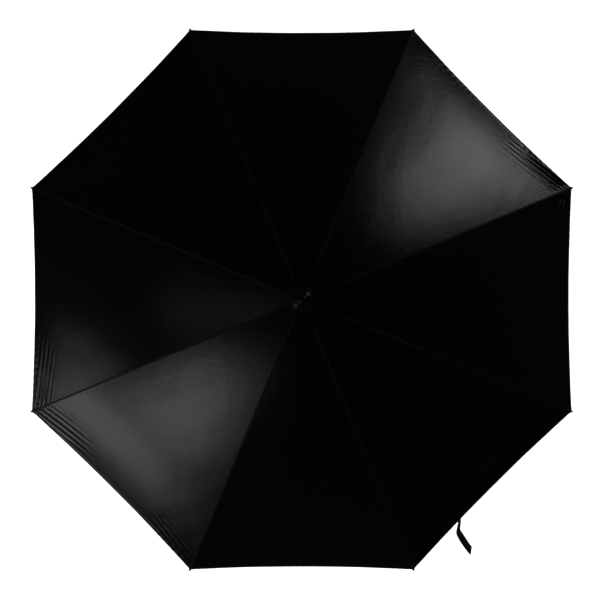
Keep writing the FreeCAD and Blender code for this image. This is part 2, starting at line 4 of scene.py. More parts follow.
import bpy
import numpy as np
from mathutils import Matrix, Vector


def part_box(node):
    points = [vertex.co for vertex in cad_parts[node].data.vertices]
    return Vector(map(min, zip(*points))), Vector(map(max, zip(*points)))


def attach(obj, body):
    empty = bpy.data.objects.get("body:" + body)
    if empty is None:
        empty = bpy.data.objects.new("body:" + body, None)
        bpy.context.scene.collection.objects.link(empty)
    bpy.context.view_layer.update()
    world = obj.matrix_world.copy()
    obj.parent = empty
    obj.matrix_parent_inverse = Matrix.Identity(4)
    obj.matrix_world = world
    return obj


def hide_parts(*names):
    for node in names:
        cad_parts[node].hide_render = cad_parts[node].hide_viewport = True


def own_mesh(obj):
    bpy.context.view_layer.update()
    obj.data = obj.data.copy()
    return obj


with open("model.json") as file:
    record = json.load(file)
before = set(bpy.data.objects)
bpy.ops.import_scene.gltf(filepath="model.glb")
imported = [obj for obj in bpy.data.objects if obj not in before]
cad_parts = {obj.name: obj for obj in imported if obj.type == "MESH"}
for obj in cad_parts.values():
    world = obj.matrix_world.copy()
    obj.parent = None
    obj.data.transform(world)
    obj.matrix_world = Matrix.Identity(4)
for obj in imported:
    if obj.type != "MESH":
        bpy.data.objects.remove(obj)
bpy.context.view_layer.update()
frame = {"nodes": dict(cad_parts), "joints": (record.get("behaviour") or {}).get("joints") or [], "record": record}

# The open golf umbrella, seen from straight above. The frame, shaft and fittings are the CAD nodes in
# better materials. The cloth, its seams, hems and stitches, the closing strap, the thread that ties the
# corners, the rosette under the cap and the foam of the grip are made here. All lengths are metres, in
# the CAD model's frame.

# ----------------------------------------------------------------------------------- the ribs' line
# An arm's upright plane has two directions: out from the shaft, and up. Slopes are below the horizontal.
# The slopes and the lengths of the ribs' arcs are those of the CAD model.

ARMS = 8
SPACING = 2 * math.pi / ARMS
HALF = SPACING / 2
SLOPE_CROWN, SLOPE_JOINT, SLOPE_TIP = (math.radians(angle) for angle in (10, 26, 48))
INNER_RIB_ARC = 0.3405
JOINT_STRAIGHT = 0.0119
OUTER_RIB_ARC = 0.3881
CLOTH_LIFT = 0.0039
CLOTH_START = 0.0185


def joint_place(name):
    """(out, up) of a joint of the frame."""
    x, y, z = next(joint["pos_m"] for joint in frame["joints"] if joint["name"] == name)
    return np.array([math.hypot(x, y), z])


def along(slope):
    return np.array([math.cos(slope), -math.sin(slope)])


def outward(slope):
    return np.array([math.sin(slope), math.cos(slope)])


INNER_RIB_RADIUS = INNER_RIB_ARC / (SLOPE_JOINT - SLOPE_CROWN)
OUTER_RIB_RADIUS = OUTER_RIB_ARC / (SLOPE_TIP - SLOPE_JOINT)
FLEX = joint_place("rib_1_flex")
JOINT = FLEX - along(SLOPE_JOINT) * JOINT_STRAIGHT
INNER_CENTRE = JOINT - outward(SLOPE_JOINT) * INNER_RIB_RADIUS
OUTER_CENTRE = FLEX - outward(SLOPE_JOINT) * OUTER_RIB_RADIUS

INNER_RADIUS = INNER_RIB_RADIUS + CLOTH_LIFT
OUTER_RADIUS = OUTER_RIB_RADIUS + CLOTH_LIFT
SLOPE_START = math.asin((CLOTH_START - INNER_CENTRE[0]) / INNER_RADIUS)
TO_JOINT = INNER_RADIUS * (SLOPE_JOINT - SLOPE_START)
TO_FLEX = TO_JOINT + JOINT_STRAIGHT
TO_TIP = TO_FLEX + OUTER_RADIUS * (SLOPE_TIP - SLOPE_JOINT)


def rib_line(run):
    """Out, up and slope of the cloth over a rib, at a run along it from the cloth's start."""
    run = np.asarray(run, float)
    slope = np.select(
        [run < TO_JOINT, run < TO_FLEX, run < TO_TIP],
        [SLOPE_START + run / INNER_RADIUS, SLOPE_JOINT, SLOPE_JOINT + (run - TO_FLEX) / OUTER_RADIUS],
        SLOPE_TIP,
    )
    inner = run < TO_JOINT
    radius = np.where(inner, INNER_RADIUS, OUTER_RADIUS)
    out = np.where(inner, INNER_CENTRE[0], OUTER_CENTRE[0]) + radius * np.sin(slope)
    up = np.where(inner, INNER_CENTRE[1], OUTER_CENTRE[1]) + radius * np.cos(slope)
    before_flex = np.clip(run - TO_FLEX, -JOINT_STRAIGHT, 0)
    past_tip = np.maximum(run - TO_TIP, 0)
    straight = np.where(inner, 0, np.where(run < TO_FLEX, before_flex, past_tip))
    return out + straight * np.cos(slope), up - straight * np.sin(slope), slope


def bearing(arm):
    """Radians from +X to an arm. Arm 9 is arm 1 again."""
    return SPACING * (arm - 0.5)


def turned(points, angle):
    """Points turned about the shaft."""
    cosine, sine = math.cos(angle), math.sin(angle)
    x, y, z = points[..., 0], points[..., 1], points[..., 2]
    return np.stack([x * cosine - y * sine, x * sine + y * cosine, z], -1)


# ------------------------------------------------------------------------------------- the canopy
# A gore is ruled straight from rib to rib, then stands a little proud between them, and is creased by its
# seams, its hem and its corners. Its two directions are the run along the ribs and the share across, from
# -1 at its first rib to 1 at the next. The side of an arm is 1 for its left, where the gore of the same
# number starts, and -1 for its right.

BILLOW = 0.0095
FULLEST_RUN = 0.5
TAUT_AT_HEM = 0.45
CORNER_BACK = 0.0065
HEM_HOLLOW = 0.0225
HEM_WIDTH = 0.009
HEM_THICK = 0.0004
HEM_STITCH = 0.0072
SEAM_HALF = 0.0026
WAVE_LENGTHS = (0.19, 0.13, 0.095, 0.075, 0.06, 0.048)
RANDOM = np.random.default_rng(8)


def smooth(value):
    """Goes gently from 0 to 1 as value does."""
    value = np.clip(value, 0, 1)
    return value * value * (3 - 2 * value)


def new_creases():
    """What is random about one gore's creases."""
    return {
        "hem": RANDOM.uniform(0, 2 * math.pi, 4),
        "seam": RANDOM.uniform(0, 2 * math.pi, (2, 4)),
        "corner": RANDOM.uniform(0, 2 * math.pi, (2, 4)),
        "corner_size": RANDOM.uniform(0.45, 1.0, 2),
        "wave": RANDOM.uniform(0, 2 * math.pi, len(WAVE_LENGTHS)),
        "wave_way": RANDOM.uniform(-0.9, 0.9, len(WAVE_LENGTHS)),
    }


CREASES = {gore: new_creases() for gore in range(1, ARMS + 1)}
# The cloth is tightest at the corners of arms 1 and 5, so those are creased most.
for tight_gore, tight_end, tight_size in ((1, 0, 1.7), (8, 1, 1.4), (5, 0, 1.4), (4, 1, 1.2)):
    CREASES[tight_gore]["corner_size"][tight_end] = tight_size


def gore_beside(arm, side):
    """The gore on that side of an arm."""
    return arm if side > 0 else (arm - 2) % ARMS + 1


def uneven(place, length, phases):
    """A wave whose length and height wander, from -1 to 1."""
    slow_wander = 0.9 * np.sin(place / (3.1 * length) + phases[1])
    quick_wander = 0.7 * np.sin(place / (1.3 * length) + phases[2])
    size = 0.6 + 0.4 * np.sin(place / (2.3 * length) + phases[3])
    return size * np.sin(2 * math.pi * place / length + phases[0] + (slow_wander + quick_wander))


def hem_run(share):
    """The run at which the cloth ends: short of the ribs' tips, and cut a little hollow between them."""
    return TO_TIP - CORNER_BACK - HEM_HOLLOW * (1 - share**2)


def billow(run, share):
    """The gore stands out most at its middle, and less towards the cap and the taut hem."""
    taut = TAUT_AT_HEM * smooth((run - FULLEST_RUN) / (TO_TIP - FULLEST_RUN))
    return BILLOW * (smooth(run / FULLEST_RUN) * (1 - taut)) * (1 - share**2)


def hem_puckers(across, from_hem, from_seam, phases):
    """Small puckers that the hem's stitches draw up."""
    depth, pitch, reach, seam_hold = 0.00034, 0.0155, 0.017, 0.007
    near_hem = np.exp(-((from_hem / reach) ** 2))
    return depth * uneven(across, pitch, phases) * near_hem * smooth(from_seam / seam_hold)


def seam_puckers(run, from_seam, phases):
    """Small puckers along the lower part of each seam."""
    depth, pitch, reach = 0.0002, 0.0135, 0.006
    near_seam = from_seam / reach * np.exp(1 - from_seam / reach)
    return depth * uneven(run, pitch, phases) * near_seam * smooth((run - 0.4) / 0.3)


def corner_fan(from_hem, from_seam, size, phases):
    """Fine creases that spread from a corner."""
    depth, start, reach, seam_hold = 0.0002, 0.018, 0.05, 0.007
    away = np.hypot(from_hem, from_seam)
    turn = np.arctan2(from_seam, np.maximum(from_hem, 0))
    fan = np.sin(19 * turn + phases[0]) + 0.6 * np.sin(31 * turn + phases[1])
    fade = away / (away + start) * np.exp(-((away / reach) ** 2))
    return depth * size * fan * fade * smooth(from_seam / seam_hold)


def corner_folds(from_hem, from_seam, size, phases):
    """Folds along the hem from the pull of corner on corner. They end before the middle of the hem."""
    depth, pitch, slant = 0.0015, 0.018, 0.17
    folds = uneven(from_hem - slant * from_seam, pitch, phases)
    beside_corner = smooth(from_seam / 0.022) * np.exp(-((from_seam / 0.12) ** 4))
    near_hem = smooth(from_hem / 0.012) * np.exp(-((from_hem / 0.068) ** 4))
    return depth * size**2 * folds * beside_corner * near_hem


def slack_waves(run, across, from_seam, creases):
    """Wide shallow waves in the middle of the gore, each across its own way."""
    steepness, seam_hold, cap_hold = 0.0006, 0.06, 0.2
    waves = 0
    for length, phase, way in zip(WAVE_LENGTHS, creases["wave"], creases["wave_way"]):
        place = across * math.cos(way) + run * math.sin(way)
        waves = waves + length * np.sin(2 * math.pi * place / length + phase)
    return steepness * waves * smooth(from_seam / seam_hold) * smooth(run / cap_hold)


def hem_relief(from_hem, from_seam):
    """The step at the edge of the turned hem, and the dent along its stitches."""
    step_width, dent, dent_width, seam_hold = 0.0008, 0.00022, 0.0005, 0.004
    step = HEM_THICK * smooth((HEM_WIDTH - from_hem) / step_width + 0.5)
    groove = dent * np.exp(-(((from_hem - HEM_STITCH) / dent_width) ** 2))
    return (step - groove) * smooth(from_seam / seam_hold)


def crease_height(run, share, gore):
    """How far the cloth stands out of its straight ruled surface."""
    creases = CREASES[gore]
    half_width = rib_line(run)[0] * math.sin(HALF)
    across = half_width * share
    from_seam = half_width * (1 - np.abs(share))
    from_hem = hem_run(share) - run
    end = (share > 0).astype(int)
    seam_phases = np.moveaxis(creases["seam"][end], -1, 0)
    corner_phases = np.moveaxis(creases["corner"][end], -1, 0)
    size = creases["corner_size"][end]
    return (
        billow(run, share)
        + hem_puckers(across, from_hem, from_seam, creases["hem"])
        + seam_puckers(run, from_seam, seam_phases)
        + corner_fan(from_hem, from_seam, size, corner_phases)
        + corner_folds(from_hem, from_seam, size, corner_phases)
        + slack_waves(run, across, from_seam, creases)
        + hem_relief(from_hem, from_seam)
    )


def cloth_point(run, share, gore):
    """Point of the cloth's outer face."""
    out, up, slope = rib_line(run)
    height = crease_height(run, share, gore)
    lean = np.sin(slope)
    rise = math.cos(HALF) * np.cos(slope)
    size = np.hypot(lean, rise)
    x = out * math.cos(HALF) + height * lean / size
    y = out * math.sin(HALF) * share
    z = up + height * rise / size
    return turned(np.stack([x, y + 0 * x, z], -1), SPACING * gore)


def cloth_frame(run, share, gore):
    """Point, outward normal and down-rib direction of the cloth."""
    step = 0.0002
    down = cloth_point(run + step, share, gore) - cloth_point(run - step, share, gore)
    sideways = cloth_point(run, share + step, gore) - cloth_point(run, share - step, gore)
    normal = np.cross(down, sideways)
    normal /= np.linalg.norm(normal, axis=-1, keepdims=True)
    down /= np.linalg.norm(down, axis=-1, keepdims=True)
    return cloth_point(run, share, gore), normal, down


def add_mesh(name, points, faces, uv=None, normals=None, parts=None, material_names=()):
    """Object of a mesh, smooth shaded. parts gives the material index of each face."""
    mesh = bpy.data.meshes.new(name)
    mesh.from_pydata(np.asarray(points).tolist(), [], [list(face) for face in faces], shade_flat=False)
    if uv is not None:
        corners = np.zeros(len(mesh.loops), int)
        mesh.loops.foreach_get("vertex_index", corners)
        layer = mesh.uv_layers.new(name="cloth")
        layer.data.foreach_set("uv", np.asarray(uv, float)[corners].ravel())
    for material in material_names:
        mesh.materials.append(MATERIALS[material])
    if parts is not None:
        mesh.polygons.foreach_set("material_index", np.asarray(parts, int))
    if normals is not None:
        mesh.normals_split_custom_set_from_vertices(np.asarray(normals).tolist())
    piece = bpy.data.objects.new(name, mesh)
    bpy.context.scene.collection.objects.link(piece)
    return piece


def grid_faces(rows, columns, flip=False):
    """Faces of a grid of points, each row after the last."""
    index = np.arange(rows * columns).reshape(rows, columns)
    corners = [index[:-1, :-1], index[1:, :-1], index[1:, 1:], index[:-1, 1:]]
    if flip:
        corners.reverse()
    return np.stack(corners, -1).reshape(-1, 4)


def tube_faces(count, sides):
    """Faces that join a count of rings, each with the same number of points, and close both ends."""
    faces = []
    for ring in range(count - 1):
        for corner in range(sides):
            after = (corner + 1) % sides
            low, high = ring * sides, (ring + 1) * sides
            faces.append((low + corner, low + after, high + after, high + corner))
    faces.append(tuple(range(sides - 1, -1, -1)))
    faces.append(tuple((count - 1) * sides + corner for corner in range(sides)))
    return faces


def add_tube(name, rings, material, uv=None):
    """Closed tube through rings of points."""
    points = np.array(rings).reshape(-1, 3)
    return add_mesh(name, points, tube_faces(len(rings), len(rings[0])), uv, material_names=[material])


WING_COLUMNS = 72
ROW_STEP = 0.0027
MID_LAP = 0.004
MID_LAP_UNDER = 0.0004
FLEX_LAP = 0.012
FLEX_LAP_UNDER = 0.0008


def wing_shares(side):
    """Shares across of a wing's columns, from its rib to the middle of the gore, closest near the rib."""
    return -side * (1 - np.linspace(0, 1, WING_COLUMNS + 1) ** 1.25)


def inner_rows():
    """Runs of an inner wing's rows, and how far each row lies under the outer wing."""
    runs = np.linspace(0, TO_FLEX, round(TO_FLEX / ROW_STEP) + 1)
    lap = TO_FLEX + FLEX_LAP * np.array([0.12, 0.25, 0.6, 1.0])
    under = FLEX_LAP_UNDER * np.array([0.5, 1.0, 1.0, 1.0])
    return np.concatenate([runs, lap]), np.concatenate([np.zeros(len(runs)), under])


def outer_rows():
    """Distances from the hem of an outer wing's rows, finest in the hem."""
    hem = HEM_WIDTH * np.array([1.2, 1.1, 1.04, 1.0, 0.96, 0.88, 0.84, 0.8, 0.76, 0.7, 0.5, 0.3, 0.12, 0.0])
    length = TO_TIP - TO_FLEX
    return np.concatenate([np.linspace(length, 1.5 * HEM_WIDTH, round(length / ROW_STEP)), hem])


def with_lap(points, normals, uv):
    """The wing's grid with two more columns, which reach under the next wing at the middle of the gore."""
    edge, edge_normals = points[:, -1], normals[:, -1]
    onward = edge - points[:, -2]
    onward /= np.linalg.norm(onward, axis=-1, keepdims=True)
    far = edge + onward * MID_LAP - edge_normals * MID_LAP_UNDER
    near = edge + onward * MID_LAP * 0.15 - edge_normals * 0.75 * MID_LAP_UNDER
    points = np.concatenate([points, near[:, None], far[:, None]], 1)
    normals = np.concatenate([normals, normals[:, -1:], normals[:, -1:]], 1)
    uv = np.concatenate([uv, uv[:, -1:], uv[:, -1:]], 1)
    return points, normals, uv


def make_inner_wing(side, gore, name):
    """The cloth from the cap to the flex, and a lap under the outer wing."""
    runs, under = inner_rows()
    run, share = np.meshgrid(runs, wing_shares(side), indexing="ij")
    points, normals, _ = cloth_frame(run, share, gore)
    points = points - normals * under[:, None, None]
    return add_wing(points, normals, run, share, side, name)


def turned_hem(run, share, gore):
    """Rows of points, normals and runs that turn the cloth under, from the runs and shares of its edge."""
    points, normals, down = cloth_frame(run, share, gore)
    rows = []
    for angle in (math.radians(60), math.radians(120)):
        bulge = down * math.sin(angle) - normals * (1 - math.cos(angle))
        rows.append((points + bulge * HEM_THICK, normals * math.cos(angle) + down * math.sin(angle), run))
    for back in (0.0, 0.2, 0.45, 0.7, 0.92):
        back_run = run - back * HEM_WIDTH
        back_points, back_normals, _ = cloth_frame(back_run, share, gore)
        rows.append((back_points - back_normals * 2 * HEM_THICK, -back_normals, back_run))
    return [np.stack(column) for column in zip(*rows)]


def make_outer_wing(side, gore, name):
    """The cloth from the flex to the hem, and the hem turned under."""
    distance, share = np.meshgrid(outer_rows(), wing_shares(side), indexing="ij")
    run = hem_run(share) - distance * (hem_run(share) - TO_FLEX) / (TO_TIP - TO_FLEX)
    points, normals, _ = cloth_frame(run, share, gore)
    hem_points, hem_normals, hem_runs = turned_hem(run[-1], share[-1], gore)
    points = np.concatenate([points, hem_points])
    normals = np.concatenate([normals, hem_normals])
    run = np.concatenate([run, hem_runs])
    share = np.concatenate([share] + [share[-1:]] * len(hem_runs))
    return add_wing(points, normals, run, share, side, name)


def add_wing(points, normals, run, share, side, name):
    """Piece of a wing's grid. Only the left wings have the lap at the middle of the gore."""
    across = rib_line(run)[0] * math.sin(HALF) * share
    uv = np.stack([across, run], -1)
    if side > 0:
        points, normals, uv = with_lap(points, normals, uv)
    faces = grid_faces(*points.shape[:2], flip=side < 0)
    return add_mesh(
        name,
        points.reshape(-1, 3),
        faces,
        uv.reshape(-1, 2),
        normals.reshape(-1, 3),
        material_names=["fabric"],
    )


# -------------------------------------------------------------------------- the arms' directions
# When the umbrella closes, the cloth between two ribs has no room. Here each arm gets its level directions
# and the points over its rib, and each piece of cloth gets its own copy of its mesh. The wings keep their
# open shape.


def arm_axes(arm):
    """Outward and sideways unit directions of an arm, level."""
    angle = bearing(arm)
    return np.array([math.cos(angle), math.sin(angle), 0]), np.array([-math.sin(angle), math.cos(angle), 0])


def arm_point(arm, run):
    """Point of the cloth over an arm's rib."""
    out, up, _ = rib_line(run)
    level, _ = arm_axes(arm)
    return level * float(out) + np.array([0, 0, float(up)])


def fold_away(piece, arm, part):
    """Gives a piece of cloth its own copy of its mesh. It works out the line along the inner or outer part of the
    arm and the direction out from it, but moves nothing.
    """
    start_run, end_run = (0, TO_FLEX) if part == "inner" else (TO_FLEX, TO_TIP)
    level, sideways = arm_axes(arm)
    start, end = arm_point(arm, start_run), arm_point(arm, end_run)
    down = (end - start) / np.linalg.norm(end - start)
    out = np.cross(sideways, down)
    out *= np.sign(out[2])
    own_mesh(piece)


# --------------------------------------------------------------------------------- seams and stitches

STITCH_LENGTH = 0.0024
STITCH_PITCH = 0.0032
STITCH_RADIUS = 0.00017
STITCH_SIDES = 6
SEAM_STITCH_LIFT = 0.00018
SEAM_START = 0.004
SEAM_PAST_CORNER = 0.001
TAPE_HALF = 0.006
TAPE_UNDER = 0.0007


def stitch(centre, ahead, normal):
    """Rings of points of one stitch: a short thread that dips into the cloth at both ends."""
    sideways = np.cross(ahead, normal)
    stations = np.array([-0.5, -0.38, 0, 0.38, 0.5])
    sizes = np.array([0.35, 0.85, 1.0, 0.85, 0.35])
    dips = np.array([-1.0, 0.15, 0.5, 0.15, -1.0])
    rings = []
    for station, size, dip in zip(stations, sizes, dips):
        middle = centre + ahead * station * STITCH_LENGTH + normal * dip * STITCH_RADIUS
        angles = [2 * math.pi * corner / STITCH_SIDES for corner in range(STITCH_SIDES)]
        spokes = [sideways * math.cos(angle) + normal * math.sin(angle) for angle in angles]
        rings.append([middle + spoke * STITCH_RADIUS * size for spoke in spokes])
    return rings


def stitches(places):
    """Points and faces of a row of stitches. A place is a centre, the way ahead and the normal."""
    points, faces = [], []
    for centre, ahead, normal in places:
        rings = stitch(centre, ahead, normal)
        for face in tube_faces(len(rings), STITCH_SIDES):
            faces.append(tuple(len(points) + corner for corner in face))
        points += [point for ring in rings for point in ring]
    return np.array(points), faces


def add_thread(name, places):
    """Piece of a row of stitches."""
    points, faces = stitches(places)
    return add_mesh(name, points, faces, material_names=["thread"])


def make_hem_thread(side, gore, name):
    """The row of stitches in the hem of one wing."""
    half_width = rib_line(TO_TIP)[0] * math.sin(HALF)
    count = int((half_width - 2 * SEAM_HALF) / STITCH_PITCH)
    share = -side * (1 - (SEAM_HALF + STITCH_PITCH * (np.arange(count) + 0.5)) / half_width)
    points, normals, down = cloth_frame(hem_run(share) - HEM_STITCH, share, gore)
    return add_thread(name, zip(points, np.cross(normals, down), normals))


def share_beside(run, distance, side):
    """Share across at a distance from the seam."""
    return -side * (1 - distance / (rib_line(run)[0] * math.sin(HALF)))


def seam_narrowing(runs):
    """How much narrower a seam is near the cap."""
    return np.minimum(1, rib_line(runs)[0] / 0.09)


def seam_frames(runs, offset, arm):
    """Point, normal and down direction of the cloth at an offset beside an arm's seam."""
    side = 1 if offset > 0 else -1
    share = share_beside(runs, abs(offset) * seam_narrowing(runs), side)
    return cloth_frame(runs, share, gore_beside(arm, side))


def strip_uv(offsets, runs):
    return np.stack([np.tile(offsets, len(runs)), np.repeat(runs, len(offsets))], -1)


def seam_stitch_places(arm, start_run, end_run):
    """Places of the stitches in a seam's two rows."""
    count = int((end_run - start_run) / STITCH_PITCH)
    runs = start_run + STITCH_PITCH * (np.arange(count) + 0.5)
    places = []
    for offset in (-0.7 * SEAM_HALF, 0.7 * SEAM_HALF):
        centres, normals, down = seam_frames(runs, offset, arm)
        places += zip(centres + normals * SEAM_STITCH_LIFT, down, normals)
    return places


def make_seam(arm, start_run, end_run, name):
    """The felled seam over a rib, a narrow double ridge, with its two rows of stitches."""
    runs = np.linspace(start_run, end_run, round((end_run - start_run) / 0.003) + 1)
    offsets = SEAM_HALF * np.array([-1.0, -0.96, -0.55, -0.2, 0.2, 0.55, 0.96, 1.0])
    heights = 0.0001 * np.array([-1.5, 1.2, 2.1, 1.9, 1.9, 2.1, 1.2, -1.5])
    columns = []
    for offset, height in zip(offsets, heights):
        ripple = 0.00005 * np.sin(2 * math.pi * runs / 0.011 + 900 * offset)
        points, normals, _ = seam_frames(runs, offset, arm)
        columns.append(points + normals * ((height + ripple) * seam_narrowing(runs))[:, None])
    ridge = np.stack(columns, 1).reshape(-1, 3)
    ridge_faces = grid_faces(len(runs), len(offsets)).tolist()

    thread, thread_faces = stitches(seam_stitch_places(arm, start_run, end_run))
    thread_faces = [[len(ridge) + corner for corner in face] for face in thread_faces]
    return add_mesh(
        name,
        np.concatenate([ridge, thread]),
        ridge_faces + thread_faces,
        np.concatenate([strip_uv(offsets, runs), np.zeros((len(thread), 2))]),
        parts=[0] * len(ridge_faces) + [1] * len(thread_faces),
        material_names=["binding", "thread"],
    )


def make_tape(arm, start_run, end_run, name):
    """The tape sewn under the seam, which lies on the rib."""
    runs = np.linspace(start_run, end_run, round((end_run - start_run) / 0.004) + 1)
    offsets = TAPE_HALF * np.array([-1.0, -0.6, -0.2, 0.2, 0.6, 1.0])
    columns = []
    for offset in offsets:
        points, normals, _ = seam_frames(runs, offset, arm)
        columns.append(points - normals * TAPE_UNDER)
    points = np.stack(columns, 1).reshape(-1, 3)
    faces = grid_faces(len(runs), len(offsets), flip=True)
    return add_mesh(name, points, faces, strip_uv(offsets, runs), material_names=["fabric"])


# --------------------------------------------------------------------------------------- materials


class Finish:
    """A material that is being put together from nodes."""

    def __init__(self, name, colour, roughness, **sockets):
        self.material = bpy.data.materials.new(name)
        self.material.use_nodes = True
        self.tree = self.material.node_tree
        self.shader = self.tree.nodes["Principled BSDF"]
        self.shader.inputs["Base Color"].default_value = (*colour, 1)
        self.shader.inputs["Roughness"].default_value = roughness
        for socket, value in sockets.items():
            self.shader.inputs[socket.replace("_", " ").title()].default_value = value
        self.place = self.node("ShaderNodeTexCoord").node.outputs["Object"]

    def node(self, kind, inputs=None, **settings):
        """A new node's first output. An input's value is a number or another node's output."""
        node = self.tree.nodes.new(kind)
        for setting, value in settings.items():
            setattr(node, setting, value)
        for socket, value in (inputs or {}).items():
            if isinstance(value, bpy.types.NodeSocket):
                self.tree.links.new(value, node.inputs[socket])
            else:
                node.inputs[socket].default_value = value
        return node.outputs[0]

    def maths(self, operation, first, second=0.0):
        return self.node("ShaderNodeMath", {0: first, 1: second}, operation=operation)

    def noise(self, scale, detail=3.0, stretch=None, place=None):
        """Noise from 0 to 1. scale is features per metre, and stretch multiplies it along each axis."""
        place = place or self.place
        if stretch:
            place = self.node("ShaderNodeMapping", {"Vector": place, "Scale": stretch})
        return self.node("ShaderNodeTexNoise", {"Vector": place, "Scale": scale, "Detail": detail})

    def between(self, value, low, high):
        return self.node("ShaderNodeMapRange", {"Value": value, "To Min": low, "To Max": high})

    def colours(self, value, first, second):
        """Colour that goes from the first to the second as value goes from 0.3 to 0.7."""
        ramp = self.node("ShaderNodeValToRGB", {"Fac": value}).node
        ramp.color_ramp.elements[0].position = 0.3
        ramp.color_ramp.elements[1].position = 0.7
        ramp.color_ramp.elements[0].color = (*first, 1)
        ramp.color_ramp.elements[1].color = (*second, 1)
        self.tree.links.new(ramp.outputs[0], self.shader.inputs["Base Color"])

    def rough(self, value):
        self.tree.links.new(value, self.shader.inputs["Roughness"])

    def bump(self, *layers):
        """Bumps from (height, depth in metres) pairs, one over the other."""
        normal = None
        for height, depth in layers:
            inputs = {"Height": height, "Distance": depth, "Strength": 1.0}
            if normal is not None:
                inputs["Normal"] = normal
            normal = self.node("ShaderNodeBump", inputs)
        self.tree.links.new(normal, self.shader.inputs["Normal"])


def grey(level):
    """A very slightly blue grey."""
    return (level, level, level * 1.03)


def weave(finish, pitch, place):
    """Plain weave: threads over and under each other, as a height from 0 to 1."""
    split = finish.node("ShaderNodeSeparateXYZ", {"Vector": place}).node
    waves = []
    for axis in ("X", "Y"):
        turns = finish.maths("MULTIPLY", split.outputs[axis], math.pi / pitch)
        waves.append(finish.maths("ABSOLUTE", finish.maths("SINE", turns)))
    over = finish.node("ShaderNodeTexChecker", {"Vector": place, "Scale": 1 / pitch}).node.outputs["Fac"]
    under = finish.maths("SUBTRACT", 1.0, over)
    return finish.maths(
        "ADD", finish.maths("MULTIPLY", waves[0], over), finish.maths("MULTIPLY", waves[1], under)
    )


def fabric(name, shine, low, high):
    """Black satin pongee: a fine tight weave, slightly crinkled, with a roughness from low to high."""
    finish = Finish(name, grey(0.003), low)
    finish.shader.inputs["Specular IOR Level"].default_value = shine
    place = finish.node("ShaderNodeUVMap", uv_map="cloth")
    streaks = finish.noise(60, 4, stretch=(40, 1.2, 1), place=place)
    finish.colours(streaks, grey(0.0022), grey(0.004))
    clouds = finish.maths("MULTIPLY", finish.noise(14, 4, place=place), 0.6)
    worn = finish.maths("ADD", clouds, finish.maths("MULTIPLY", streaks, 0.4))
    finish.rough(finish.between(worn, low, high))
    finish.bump(
        (finish.noise(75, 3, place=place), 0.00028),
        (finish.noise(230, 3, place=place), 0.00016),
        (weave(finish, 0.0003, place), 0.00003),
    )
    return finish.material


def webbing():
    """The strap's folded cloth, with a coarser rib than the canopy."""
    finish = Finish("strap_cloth", grey(0.005), 0.5)
    place = finish.node("ShaderNodeUVMap", uv_map="cloth")
    finish.colours(finish.noise(300, 4, place=place), grey(0.003), grey(0.006))
    finish.rough(finish.between(finish.noise(120, 3, place=place), 0.42, 0.6))
    finish.bump((finish.noise(160, 3, place=place), 0.0004), (weave(finish, 0.00045, place), 0.00006))
    return finish.material


def hooks():
    """The hooked side of the strap's fastening."""
    finish = Finish("fastening_hooks", grey(0.013), 0.6)
    cells = finish.node("ShaderNodeTexVoronoi", {"Vector": finish.place, "Scale": 900})
    finish.colours(cells, grey(0.024), grey(0.006))
    finish.rough(finish.between(cells, 0.4, 0.75))
    finish.bump((cells, 0.0004))
    return finish.material


def thread():
    """Twisted black polyester thread."""
    finish = Finish("black_thread", grey(0.006), 0.55)
    twist = finish.noise(2600, 2)
    finish.colours(twist, grey(0.004), grey(0.009))
    finish.rough(finish.between(twist, 0.48, 0.68))
    finish.bump((twist, 0.00004))
    return finish.material


def painted_steel(name, level, low, high):
    """Black painted steel, with orange peel in the coat and a few brighter rubbed places."""
    finish = Finish(name, grey(level), low)
    rubbed = finish.noise(45, 5)
    finish.colours(rubbed, grey(level * 0.8), grey(level * 1.5))
    finish.rough(finish.between(finish.noise(160, 4), low, high))
    finish.bump((finish.noise(1500, 2), 0.00002), (finish.noise(90, 3), 0.00005))
    return finish.material


def fibreglass():
    """Black resin over glass fibres, which show as faint streaks."""
    finish = Finish("fibreglass_rod", grey(0.014), 0.25, coat_weight=0.4, coat_roughness=0.2)
    fibres = finish.noise(500, 3, stretch=(1, 1, 0.15))
    finish.colours(fibres, grey(0.009), grey(0.022))
    finish.rough(finish.between(fibres, 0.22, 0.42))
    finish.bump((fibres, 0.00003))
    return finish.material


def moulded(name, level, low, high, grain, coat=0.0, shine=0.5):
    """Black moulded plastic with a fine spark-eroded grain."""
    finish = Finish(name, grey(level), low, coat_weight=coat, coat_roughness=0.15)
    finish.shader.inputs["Specular IOR Level"].default_value = shine
    finish.colours(finish.noise(70, 4), grey(level * 0.85), grey(level * 1.3))
    finish.rough(finish.between(finish.noise(350, 4), low, high))
    finish.bump((finish.noise(2400, 2), grain), (finish.noise(120, 2), grain * 2))
    return finish.material


def spring_steel():
    """Bright drawn steel with lengthways lines."""
    finish = Finish("bright_spring_steel", (0.5, 0.51, 0.53), 0.28, metallic=1.0)
    lines = finish.noise(900, 3, stretch=(1, 1, 0.08))
    finish.colours(lines, (0.42, 0.43, 0.45), (0.6, 0.61, 0.63))
    finish.rough(finish.between(lines, 0.2, 0.42))
    finish.bump((lines, 0.00002))
    return finish.material


def foam():
    """Closed-cell foam, dull and finely pitted, shinier where a hand has rubbed it."""
    finish = Finish("grip_foam", grey(0.016), 0.8, sheen_weight=0.15, sheen_roughness=0.6)
    finish.shader.inputs["Specular IOR Level"].default_value = 0.3
    cells = finish.node("ShaderNodeTexVoronoi", {"Vector": finish.place, "Scale": 1100})
    rubbed = finish.noise(22, 4)
    finish.colours(rubbed, grey(0.012), grey(0.022))
    finish.rough(finish.between(rubbed, 0.68, 0.92))
    finish.bump((cells, 0.0002), (finish.noise(60, 3), 0.0005))
    return finish.material


